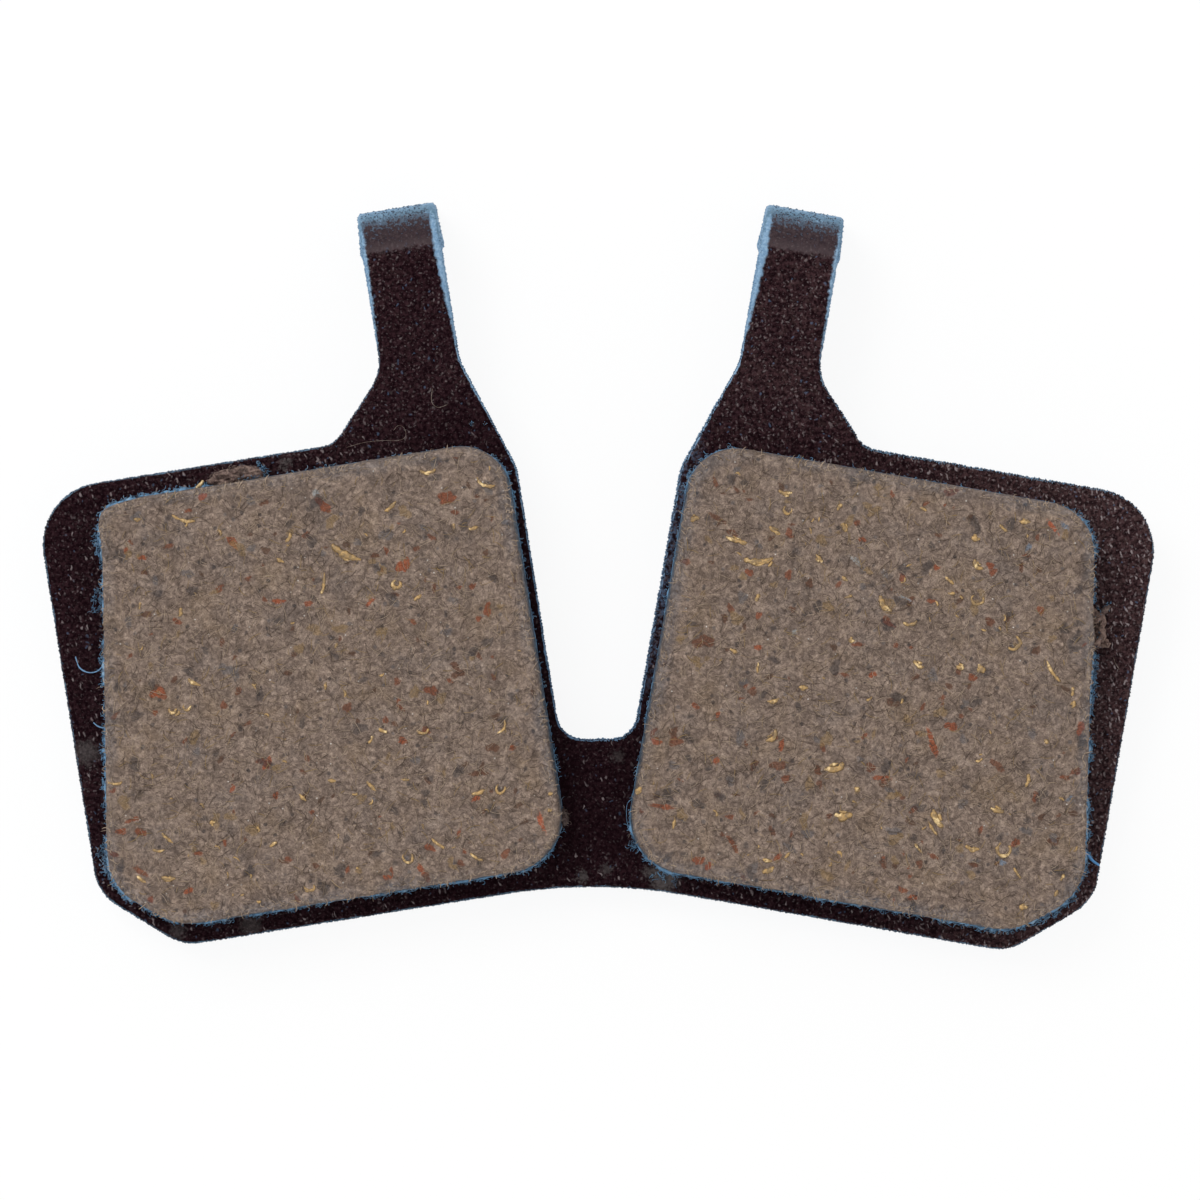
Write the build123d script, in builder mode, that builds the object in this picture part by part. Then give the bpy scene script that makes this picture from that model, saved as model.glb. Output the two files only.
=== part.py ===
from build123d import *

import os
from math import cos, radians, sin, tan

os.makedirs("parts", exist_ok=True)

# Sizes in millimetres and degrees. The back of the plate lies on Z 0, the friction side
# looks up, the tabs point along Y and the pad is the same on both sides of X 0.
# Each half leans outward; its edges are given across (u) and along (v) that half.

fan_angle = 9.5             # lean of each half from the middle line
plate_thickness = 1.8       # sheet steel
lining_thickness = 2.1      # friction material of a new pad

half_width = 20.9           # one half of the plate, across
half_height = 20.45         # one half of the plate, along
half_drop = 2.89            # bottom edge below the origin
pin_gap = 2.14              # gap between the inner edges where they pass the origin
notch_floor = 3.13          # bottom of the gap above the origin

corner_radius = 2.7         # top outer corner
cut_run = 3.3               # bottom outer corner is cut off at an angle
cut_rise = 2.8
cut_radius = 2.0
bridge_radius = 23.0        # soft bend of the lower edge under the gap
notch_radius = 1.2

arm_width = 3.42
arm_offset = 3.43           # middle of the arm beyond the inner edge of its half
arm_top = 9.88              # crown of the bent tab above the top edge
shoulder_run = 2.54         # arm spreads into the top edge
shoulder_rise = 2.8
shoulder_arm_radius = 2.1
shoulder_edge_radius = 1.25
flare_rise = 5.0            # arm spreads into the inner edge
flare_radius = 2.0

bend_radius = 0.35          # inside of the bend
bend_bulge = 0.14           # metal pressed out sideways on the inside of the bend
bend_angle = 90.0
tab_length = 2.25           # straight end of the tab after the bend

front_edge = 0.2            # edge rolled over by the punch
back_edge = 0.12            # deburred edge
tip_edge = back_edge / 2

rim_inner = 0.36            # plate left bare round the foot of the lining
rim_top = 0.9
rim_bottom = 0.86
rim_outer = 0.5
lining_taper = 8.2          # outer edge of the lining against that of the plate
lining_cut_run = 2.8
lining_cut_rise = 2.2
lining_draft = 4.0
lining_inner_low_radius = 2.55
lining_inner_top_radius = 2.2
lining_outer_top_radius = 2.25
lining_cut_radius = 2.6
lining_edge = 0.12

lean = radians(fan_angle)
inner_edge = pin_gap / 2
outer_edge = inner_edge + half_width
bottom_edge = -half_drop
top_edge = bottom_edge + half_height
arm_middle = inner_edge + arm_offset
arm_inner = arm_middle - arm_width / 2
arm_outer = arm_middle + arm_width / 2
neck = top_edge + shoulder_rise
bend_line = top_edge + arm_top - plate_thickness - bend_radius


def fanned(u, v):
    # a point of the leaning right half, in the frame of the pad
    return (u * cos(lean) + v * sin(lean), v * cos(lean) - u * sin(lean))


# Right half of the plate outline from below the gap up to the gap floor, with the corner radii
right_corners = [
    (fanned(outer_edge - cut_run, bottom_edge), cut_radius),
    (fanned(outer_edge, bottom_edge + cut_rise), cut_radius),
    (fanned(outer_edge, top_edge), corner_radius),
    (fanned(arm_outer + shoulder_run, top_edge), shoulder_edge_radius),
    (fanned(arm_outer, neck), shoulder_arm_radius),
    (fanned(arm_outer, bend_line), 0),
    (fanned(arm_inner, bend_line), 0),
    (fanned(arm_inner, neck), flare_radius),
    (fanned(inner_edge, neck - flare_rise), flare_radius),
    (((inner_edge + notch_floor * sin(lean)) / cos(lean), notch_floor), notch_radius),
]
left_corners = [((-x, y), radius) for (x, y), radius in reversed(right_corners)]
under_gap = ((0, bottom_edge / cos(lean)), bridge_radius)
plate_corners = [under_gap] + right_corners + left_corners

# The tab turns about this line, which lies across the arm behind the sheet
across = Vector(-cos(lean), sin(lean), 0)
along = Vector(sin(lean), cos(lean), 0)
bend_axis = Vector(*fanned(arm_middle, bend_line), -bend_radius)
bend_side = Plane(origin=bend_axis, x_dir=(0, 0, 1), z_dir=across)


def tab_section(turn, bulge):
    # cross-section of the tab after this much of the bend
    half = arm_width / 2
    sheet_front = bend_radius + plate_thickness
    facing = along.rotate(Axis((0, 0, 0), across), turn)
    with BuildSketch(Plane(origin=bend_axis, x_dir=across, z_dir=facing)) as section:
        with BuildLine():
            FilletPolyline(
                (-half - bulge + back_edge, bend_radius),
                (half + bulge - back_edge, bend_radius),
                (half + bulge, bend_radius + back_edge),
                (half, sheet_front),
                (-half, sheet_front),
                (-half - bulge, bend_radius + back_edge),
                radius=[0, 0, 0, front_edge, front_edge, 0],
                close=True,
            )
        make_face()
    return section.sketch.face()


bend_sections = [
    tab_section(0, 0),
    tab_section(bend_angle / 2, bend_bulge),
    tab_section(bend_angle, 0),
]
with BuildLine(bend_side) as bend_path:
    CenterArc((0, 0), bend_radius + plate_thickness / 2, 0, bend_angle)


def is_rim(edge):
    # every edge of the flat sheet but the two where the bends begin
    return abs(edge.center().Y - fanned(arm_middle, bend_line)[1]) > 1e-6


with BuildPart() as backing_plate:
    with BuildSketch():
        with BuildLine():
            FilletPolyline(
                *[corner for corner, radius in plate_corners],
                radius=[radius for corner, radius in plate_corners],
                close=True,
            )
        make_face()
    extrude(amount=plate_thickness)
    sheet_edges = backing_plate.edges().filter_by(Plane.XY).group_by(Axis.Z)
    fillet(sheet_edges[-1].filter_by(is_rim), front_edge)
    sheet_edges = backing_plate.edges().filter_by(Plane.XY).group_by(Axis.Z)
    chamfer(sheet_edges[0].filter_by(is_rim), back_edge)
    bend = sweep(bend_sections, path=bend_path.line, multisection=True)
    tab = extrude(bend_sections[-1], amount=tab_length)
    mirror([bend, tab], about=Plane.YZ)
    chamfer(backing_plate.faces().sort_by(Axis.Z)[:2].edges(), tip_edge)

# Right lining, drawn as its foot on the plate
foot_inner = inner_edge + rim_inner
foot_top = top_edge - rim_top
foot_bottom = bottom_edge + rim_bottom
foot_outer = outer_edge - rim_outer
foot_cut = foot_bottom + lining_cut_rise
foot_outer_top = foot_outer - (foot_top - foot_cut) * tan(radians(lining_taper))
lining_corners = [
    (fanned(foot_inner, foot_bottom), lining_inner_low_radius),
    (fanned(foot_outer - lining_cut_run, foot_bottom), lining_cut_radius),
    (fanned(foot_outer, foot_cut), lining_cut_radius),
    (fanned(foot_outer_top, foot_top), lining_outer_top_radius),
    (fanned(foot_inner, foot_top), lining_inner_top_radius),
]

with BuildPart() as right_friction_block:
    with BuildSketch(Plane.XY.offset(plate_thickness)):
        with BuildLine():
            FilletPolyline(
                *[corner for corner, radius in lining_corners],
                radius=[radius for corner, radius in lining_corners],
                close=True,
            )
        make_face()
    extrude(amount=lining_thickness, taper=lining_draft)
    chamfer(right_friction_block.faces().sort_by(Axis.Z)[-1].edges(), lining_edge)

with BuildPart() as left_friction_block:
    mirror(right_friction_block.part, about=Plane.YZ)

backing_plate.part.label = "backing_plate"
right_friction_block.part.label = "right_friction_block"
left_friction_block.part.label = "left_friction_block"
export_step(backing_plate.part, "parts/backing_plate.step")
export_step(right_friction_block.part, "parts/right_friction_block.step")
export_step(left_friction_block.part, "parts/left_friction_block.step")
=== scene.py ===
import random
from functools import cached_property
from math import atan2, cos, exp, pi, radians, sin, sqrt, tan

import bpy
import numpy as np
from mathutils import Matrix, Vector, noise
from mathutils.geometry import delaunay_2d_cdt


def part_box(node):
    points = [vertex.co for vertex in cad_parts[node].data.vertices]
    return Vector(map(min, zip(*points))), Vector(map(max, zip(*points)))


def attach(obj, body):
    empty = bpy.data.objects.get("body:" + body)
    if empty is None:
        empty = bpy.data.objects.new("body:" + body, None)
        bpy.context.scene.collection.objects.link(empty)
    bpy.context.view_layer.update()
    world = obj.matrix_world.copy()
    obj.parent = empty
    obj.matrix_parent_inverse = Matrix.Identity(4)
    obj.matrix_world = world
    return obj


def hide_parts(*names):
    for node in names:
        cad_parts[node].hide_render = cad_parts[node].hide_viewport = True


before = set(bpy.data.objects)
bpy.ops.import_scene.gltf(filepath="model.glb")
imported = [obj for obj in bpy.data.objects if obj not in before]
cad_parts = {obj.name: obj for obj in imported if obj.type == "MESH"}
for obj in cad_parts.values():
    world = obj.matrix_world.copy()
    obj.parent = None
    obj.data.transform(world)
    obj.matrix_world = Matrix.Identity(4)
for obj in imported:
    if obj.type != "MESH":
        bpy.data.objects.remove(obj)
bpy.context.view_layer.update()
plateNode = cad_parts["backing_plate"]

# Every length below is in millimetres, and meshes are scaled to metres as they are made.
mm = 0.001
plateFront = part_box("left_friction_block")[0].z / mm
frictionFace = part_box("left_friction_block")[1].z / mm
lean = radians(9.5)  # each half fans out by this much


# Photograph: how its pixels lie on the pad, for the places that were read from it
photo = {
    "side": 1200,                    # pixels
    "turn": 0.4,                     # the pad lies turned clockwise by this many degrees
    "scale": 23.0,                   # pixels to a millimetre on the front of the plate
    "above": (0.087, 9.217, 280.0),  # place of the lens over the pad
    "sensor": 36.0,
    "clip": (10.0, 10000.0),         # nearest and farthest that the camera sees
}


def pixelsPerMm(height):
    eye = photo["above"][2]
    return photo["scale"] * (eye - plateFront) / (eye - height)


def photoSpot(column, row, height):
    middle = photo["side"] / 2
    turn = radians(photo["turn"])
    right, down = column + 0.5 - middle, row + 0.5 - middle
    across = right * cos(turn) + down * sin(turn)
    along = right * sin(turn) - down * cos(turn)
    size = pixelsPerMm(height)
    return photo["above"][0] + across / size, photo["above"][1] + along / size


# Shader helpers
class Term:
    # one output of a node, so that maths on it reads as a plain expression
    def __init__(self, shade, link):
        self.shade = shade
        self.link = link

    def __add__(self, other):
        return self.shade.maths("ADD", self, other)

    def __sub__(self, other):
        return self.shade.maths("SUBTRACT", self, other)

    def __rsub__(self, other):
        return self.shade.maths("SUBTRACT", other, self)

    def __mul__(self, other):
        return self.shade.maths("MULTIPLY", self, other)

    def __abs__(self):
        return self.shade.maths("ABSOLUTE", self)

    __radd__ = __add__
    __rmul__ = __mul__


class Shade:
    # the nodes of one material, or of the world
    def __init__(self, owner):
        owner.use_nodes = True
        self.owner = owner
        self.tree = owner.node_tree
        self.tree.nodes.clear()

    def node(self, kind, settings={}, sockets={}):
        made = self.tree.nodes.new(kind)
        for key, value in settings.items():
            setattr(made, key, value)
        for key, value in sockets.items():
            if isinstance(value, Term):
                self.tree.links.new(value.link, made.inputs[key])
            else:
                made.inputs[key].default_value = value
        return made

    def maths(self, operation, *terms):
        made = self.node("ShaderNodeMath", {"operation": operation}, dict(enumerate(terms)))
        return Term(self, made.outputs[0])

    def vector(self, operation, first, second=None, scale=None):
        sockets = {0: first}
        if second is not None:
            sockets[1] = second
        if scale is not None:
            sockets["Scale"] = scale
        made = self.node("ShaderNodeVectorMath", {"operation": operation}, sockets)
        return Term(self, made.outputs["Vector"])

    @cached_property
    def spot(self):
        # the place on the pad in millimetres
        place = self.node("ShaderNodeTexCoord").outputs["Object"]
        return self.vector("SCALE", Term(self, place), scale=1 / mm)

    def facing(self):
        # how far the surface looks along each axis
        return self.split(Term(self, self.node("ShaderNodeNewGeometry").outputs["Normal"]))

    def seen(self):
        # 1 where the background is looked at, straight or mirrored, and 0 where it gives light
        ray = self.node("ShaderNodeLightPath").outputs
        either = self.maths("MAXIMUM", Term(self, ray["Is Camera Ray"]), Term(self, ray["Is Glossy Ray"]))
        return self.maths("MAXIMUM", either, Term(self, ray["Is Transmission Ray"]))

    def split(self, vector):
        made = self.node("ShaderNodeSeparateXYZ", {}, {0: vector})
        return [Term(self, out) for out in made.outputs]

    def attribute(self, name):
        made = self.node("ShaderNodeAttribute", {"attribute_name": name})
        return Term(self, made.outputs["Fac"])

    def step(self, value, low, high):
        # 0 at low and before it, 1 at high and past it
        settings = {"interpolation_type": "SMOOTHSTEP"}
        sockets = {"Value": value, "From Min": low, "From Max": high}
        made = self.node("ShaderNodeMapRange", settings, sockets)
        return Term(self, made.outputs["Result"])

    def blend(self, mask, first, second):
        made = self.node("ShaderNodeMix", {"data_type": "RGBA"}, {0: mask, 6: first, 7: second})
        return Term(self, made.outputs[2])

    def clouds(self, scale, detail, rough, swirl, at):
        sockets = {"Vector": at or self.spot, "Scale": scale, "Detail": detail,
                   "Roughness": rough, "Distortion": swirl}
        return self.node("ShaderNodeTexNoise", {}, sockets)

    def cloud(self, scale, detail=2.0, rough=0.5, swirl=0.0, at=None):
        return Term(self, self.clouds(scale, detail, rough, swirl, at).outputs[0])

    def shaken(self, scale, reach):
        # the place on the pad, pushed about by up to half the reach
        push = Term(self, self.clouds(scale, 2.0, 0.5, 0.0, None).outputs[1])
        push = self.vector("SUBTRACT", push, (0.5, 0.5, 0.5))
        return self.vector("ADD", self.spot, self.vector("SCALE", push, scale=reach))

    def grains(self, scale, at=None, spread="3D"):
        # distance to the nearest grain and a random number that belongs to it
        settings = {"voronoi_dimensions": spread}
        made = self.node("ShaderNodeTexVoronoi", settings, {"Vector": at or self.spot, "Scale": scale})
        return Term(self, made.outputs["Distance"]), self.split(Term(self, made.outputs["Color"]))[0]

    def finish(self, colour, rough, height, depth, shine, metal=0.0):
        bump = self.node("ShaderNodeBump", {}, {"Height": height, "Distance": depth * mm, "Strength": 1.0})
        sockets = {"Base Color": colour, "Roughness": rough, "Normal": Term(self, bump.outputs[0]),
                   "Specular IOR Level": shine, "Metallic": metal}
        surface = self.node("ShaderNodeBsdfPrincipled", {}, sockets)
        self.node("ShaderNodeOutputMaterial", {}, {"Surface": Term(self, surface.outputs[0])})
        return self.owner


def paint(red, green, blue):
    # a colour as a picture gives it, 0 to 255
    levels = [level / 255 for level in (red, green, blue)]
    return (*[v / 12.92 if v <= 0.04 else ((v + 0.055) / 1.055) ** 2.4 for v in levels], 1.0)


# Friction material: felted fibres in resin, with flakes of rubber, metal and filler in its face
lining = {
    "matrix": paint(146, 125, 112),
    "pale": paint(187, 166, 150),
    "deep": paint(90, 77, 70),
    "slate": paint(102, 99, 101),
    "ochre": paint(147, 121, 86),
    "rust": paint(162, 84, 52),
    "rustDark": paint(94, 71, 58),
    "ember": paint(188, 98, 66),
    "blackSpot": paint(64, 60, 62),
    "blueSpot": paint(100, 126, 150),
    "white": paint(222, 216, 208),
    "silver": paint(172, 176, 176),
    "mist": paint(104, 128, 148),
    "mistDeep": paint(68, 80, 94),
    "ashBlue": paint(88, 92, 98),
    "ashBrown": paint(172, 144, 132),
    "ashDeep": paint(92, 74, 72),
    "rough": 0.85,
}


def feltedFibres(s):
    # colour and height of the fibres, and the finer noises that other marks are broken up by
    mottle = s.cloud(4.6, 5.0, 0.68)
    fine = s.cloud(13.0, 2.0, 0.6)
    curls = s.cloud(4.6, 3.0, 0.55, 2.2)
    hairs = s.cloud(3.4, 2.5, 0.5, 3.6)
    broad = s.cloud(0.55, 3.0, 0.55)
    colour = s.blend(s.step(mottle, 0.36, 0.72), lining["deep"], lining["pale"])
    colour = s.blend(0.4, colour, lining["matrix"])
    strand = 1 - s.step(abs(curls - 0.5), 0.0, 0.035)
    # darker where the face sinks between hairs: painted shade in the gaps
    shadedGap = 1 - s.step(abs(hairs - 0.52), 0.0, 0.02)
    colour = s.blend(strand * s.step(fine, 0.35, 0.7) * 0.5, colour, lining["pale"])
    colour = s.blend(shadedGap * s.step(mottle, 0.62, 0.4) * 0.45, colour, lining["deep"])
    colour = s.blend(s.step(broad, 0.5, 0.72) * 0.25, colour, lining["slate"])
    colour = s.blend(s.step(broad, 0.48, 0.3) * 0.2, colour, lining["ochre"])
    patch = s.cloud(1.5, 2.0, 0.5)
    colour = s.blend(s.step(patch, 0.48, 0.75) * 0.42, colour, lining["deep"])
    colour = s.blend(s.step(patch, 0.5, 0.25) * 0.3, colour, lining["pale"])
    height = mottle * 0.6 + fine * 0.3 + strand * 0.35 - shadedGap * 0.4
    return colour, height, mottle, fine


def liningShade():
    s = Shade(bpy.data.materials.new("friction_lining"))
    z = s.split(s.spot)[2]
    colour, height, mottle, fine = feltedFibres(s)
    # filler grains too small to place one by one
    far, which = s.grains(2.6)
    grain = s.step(far + (fine - 0.5) * 0.22, 0.3, 0.16)
    colour = s.blend(grain * s.step(which, 0.8, 0.84) * 0.7, colour, lining["blackSpot"])
    colour = s.blend(grain * s.step(which, 0.12, 0.1) * 0.5, colour, lining["slate"])
    far, which = s.grains(3.4)
    colour = s.blend(s.step(far, 0.15, 0.08) * s.step(which, 0.87, 0.9) * 0.7, colour, lining["white"])
    # placed flakes and spots carry their distance to the edge in millimetres and a tone
    uneven = (fine - 0.5) * 0.14 + (mottle - 0.5) * 0.14
    flake = s.step(s.attribute("flake") + uneven, -0.02, 0.03)
    tone = s.attribute("flakeTone")
    rust = s.blend(s.step(tone, 0.0, 1.0), lining["rustDark"], lining["rust"])
    rust = s.blend(s.step(tone, 1.2, 1.8), rust, lining["ember"])
    rust = s.blend(s.step(fine, 0.35, 0.75) * 0.35, rust, lining["deep"])
    colour = s.blend(flake * 0.85, colour, rust)
    spot = s.step(s.attribute("spot") + uneven, -0.03, 0.05)
    tone = s.attribute("spotTone")
    filler = s.blend(s.step(tone, 0.3, 0.4), lining["blackSpot"], lining["slate"])
    filler = s.blend(s.step(tone, 0.55, 0.6), filler, lining["ochre"])
    filler = s.blend(s.step(tone, 0.85, 0.9), filler, lining["blueSpot"])
    filler = s.blend(s.step(tone, 1.2, 1.4), filler, lining["silver"])
    colour = s.blend(spot * 0.62, colour, filler)
    # paint mist on the walls, thickest at the foot
    wall = s.step(z + (mottle - 0.5) * 1.2, frictionFace - 0.1, plateFront + 0.5)
    mist = s.blend(s.step(mottle, 0.38, 0.66), lining["mistDeep"], lining["mist"])
    ny = s.facing()[1]
    colour = s.blend(wall * (0.85 - s.step(ny, 0.3, 0.8) * 0.7), colour, mist)
    edge = s.step(s.attribute("inside") + (mottle - 0.5) * 1.1, 0.55, 0.0)
    drift = s.step(s.cloud(0.45, 2.0, 0.5, 0.0, s.vector("ADD", s.spot, (7.0, 3.0, 0.0))), 0.36, 0.62)
    colour = s.blend(edge * (drift * 0.21 + 0.07), colour, mist)
    return s.finish(colour, lining["rough"], height - flake * 0.2, depth=0.05, shine=0.12)


def flashShade():
    s = Shade(bpy.data.materials.new("lining_flash"))
    colour, height, mottle, fine = feltedFibres(s)
    dusty = s.blend(s.attribute("tone"), lining["ashBlue"], lining["ashBrown"])
    colour = s.blend(0.7, colour, dusty)
    colour = s.blend(s.step(mottle, 0.6, 0.4) * 0.7, colour, lining["ashDeep"])
    return s.finish(colour, lining["rough"], height, depth=0.06, shine=0.1)


# Brass turnings mixed into the lining
brass = {
    # the lightest colour is a painted glint
    "paintedGlint": paint(234, 206, 154),
    "gold": paint(180, 146, 96),
    "dull": paint(134, 112, 82),
    "rough": 0.42,
    "metal": 0.25,
}


def brassShade():
    s = Shade(bpy.data.materials.new("brass_turnings"))
    tarnishAndGlint = s.cloud(6.0, 3.0, 0.65)
    glintShare = s.attribute("tone")
    colour = s.blend(s.step(tarnishAndGlint, 0.38, 0.6), brass["dull"], brass["gold"])
    # painted glints: the lightest colour where the noise is high and near each sliver's glint spot
    colour = s.blend(s.step(tarnishAndGlint + glintShare * 0.4, 0.68, 0.95), colour, brass["paintedGlint"])
    height = s.cloud(16.0, 2.0, 0.6)
    return s.finish(colour, brass["rough"], height, depth=0.02, shine=0.3, metal=brass["metal"])


# Loose fibres: lining fibres on the faces and painted ones round the foot
fuzz = {
    "pale": paint(176, 156, 136),
    "deep": paint(90, 76, 68),
    "gold": paint(158, 132, 90),
    "blue": paint(108, 148, 182),
    "bluePale": paint(150, 176, 196),
    "blueDeep": paint(72, 92, 114),
    "vivid": paint(98, 152, 204),
    "thread": paint(124, 112, 106),
}


def fibreShade():
    s = Shade(bpy.data.materials.new("lining_fibres"))
    tone = s.attribute("tone")
    colour = s.blend(s.step(tone, 0.2, 0.75), fuzz["deep"], fuzz["pale"])
    colour = s.blend(s.step(tone, 0.86, 0.94), colour, fuzz["gold"])
    return s.finish(colour, rough=0.8, height=s.cloud(20.0), depth=0.004, shine=0.15)


def blueFibreShade():
    s = Shade(bpy.data.materials.new("painted_fibres"))
    shift = s.cloud(2.2, 3.0, 0.6)
    colour = s.blend(s.step(shift, 0.34, 0.56), fuzz["blueDeep"], fuzz["blue"])
    tone = s.attribute("tone")
    colour = s.blend(s.step(tone, 0.7, 1.0) * 0.7, colour, fuzz["bluePale"])
    colour = s.blend(s.step(tone, 1.2, 1.8), colour, fuzz["vivid"])
    return s.finish(colour, rough=0.7, height=s.cloud(18.0), depth=0.01, shine=0.15)


def threadShade():
    s = Shade(bpy.data.materials.new("pale_threads"))
    colour = s.blend(s.step(s.cloud(5.0, 2.0, 0.6), 0.35, 0.65), fuzz["deep"], fuzz["thread"])
    return s.finish(colour, rough=0.8, height=s.cloud(20.0), depth=0.004, shine=0.1)


# Steel plate: blue powder coat, burnt dark on the friction side, with pale specks there that are painted
# glints of the blasted steel
plate = {
    "dark": paint(15, 2, 6),
    "mauve": paint(62, 40, 45),
    "brown": paint(84, 66, 64),
    # pale specks: painted glints of the blasted steel
    "glintSpeck": paint(148, 136, 137),
    "blueSpeck": paint(92, 112, 140),
    "blue": paint(126, 161, 192),
    "bluePale": paint(172, 196, 214),
    "blueDeep": paint(74, 100, 130),
    "teal": paint(84, 112, 130),
    "bend": paint(96, 84, 86),
    "bendDeep": paint(50, 41, 46),
    "smudge": paint(94, 89, 88),
    "rough": 0.55,
    "arm": (2.79, 6.21),   # sides of an arm across its half
    "neck": 20.4,          # where the straight sides of an arm begin, along its half
    "bendStart": 25.5,     # where an arm starts to bend
    "misted": (1.3, 2.1),  # paint mist on the right half ends between these, across it
    "fleckTurn": -0.35,    # turn of the pattern of long glint grains, in radians
    "fleckStretch": (1.0, 0.45, 1.0),
    # column, row, reach in pixels and strength of dusty smudges
    "smudges": [
        (86, 752, 17, 0.5), (664, 879, 19, 0.7), (651, 872, 11, 0.5), (582, 876, 9, 0.5),
        (706, 747, 9, 0.3), (178, 930, 11, 0.4), (250, 924, 15, 0.4), (285, 463, 8, 0.6),
        (617, 756, 9, 0.3), (606, 869, 8, 0.4),
    ],
}


def plateFrontWithGlints(s, x, y, speckle):
    # burnt coat, browner, more mottled and more thickly specked towards the right, on the far left and up
    # the arms; the pale specks are painted glints of the blasted steel, and a few blue ones are paint mist
    haze = s.step(x, 9.0, 21.0) * 0.7 + s.step(x, 1.5, 5.0) * 0.22 + 0.05
    haze = haze + s.step(x, -3.0, -12.0) * 0.28
    haze = haze + s.step(y, 11.0, 19.0) * (s.step(x, -1.0, 1.0) * 0.16 + 0.2)
    haze = haze + (s.cloud(0.5, 3.0, 0.6) - 0.5) * 0.6
    mottle = s.step(s.cloud(6.0, 3.0, 0.75), 0.38, 0.72)
    colour = s.blend(mottle * (haze * 0.8 + 0.3), plate["dark"], plate["mauve"])
    colour = s.blend(s.step(haze, 0.35, 1.2) * (mottle * 0.5 + 0.08), colour, plate["brown"])
    smears = s.step(s.cloud(2.8, 2.0, 0.5), 0.52, 0.76)
    colour = s.blend(smears * s.step(haze, 0.15, 0.9) * 0.35, colour, plate["brown"])
    # painted glints of the blasted steel, as pale specks: a fine powder of them, round grains, of which a
    # few are blue paint mist, and longer ones that lie aslant
    fineGlints = s.step(s.cloud(10.0, 2.0, 0.5), 0.58, 0.74) * (haze * 0.22 + 0.09)
    colour = s.blend(fineGlints, colour, plate["glintSpeck"])
    shaken = s.shaken(2.5, 0.4)
    far, which = s.grains(5.0, shaken, "2D")
    glintAndMistDots = s.step(far, 0.34, 0.06) * s.step(which + haze * 0.4, 0.66, 1.2)
    hue = s.blend(s.step(which, 0.93, 0.95), plate["glintSpeck"], plate["blueSpeck"])
    colour = s.blend(glintAndMistDots * (haze * 0.15 + 0.3), colour, hue)
    sockets = {"Vector": shaken, "Angle": plate["fleckTurn"]}
    leaning = s.node("ShaderNodeVectorRotate", {"rotation_type": "Z_AXIS"}, sockets)
    stretched = s.vector("MULTIPLY", Term(s, leaning.outputs[0]), plate["fleckStretch"])
    far, which = s.grains(4.2, stretched, "2D")
    glintFlecks = s.step(far + (speckle - 0.5) * 0.3, 0.23, 0.08) * s.step(which + haze * 0.26, 0.84, 1.0)
    glintFlecks = glintFlecks * s.step(y, 19.0, 14.0)
    colour = s.blend(glintFlecks * (haze * 0.3 + 0.55), colour, plate["glintSpeck"])
    for column, row, reach, strength in plate["smudges"]:
        right, up = photoSpot(column, row, plateFront)
        far = s.maths("SQRT", (x - right) * (x - right) + (y - up) * (y - up))
        reach = reach / photo["scale"]
        blot = s.step(far + (speckle - 0.5) * 1.2, reach, reach * 0.3)
        colour = s.blend(blot * strength * (mottle * 0.5 + 0.6), colour, plate["smudge"])
    return colour, glintAndMistDots + glintFlecks


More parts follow.
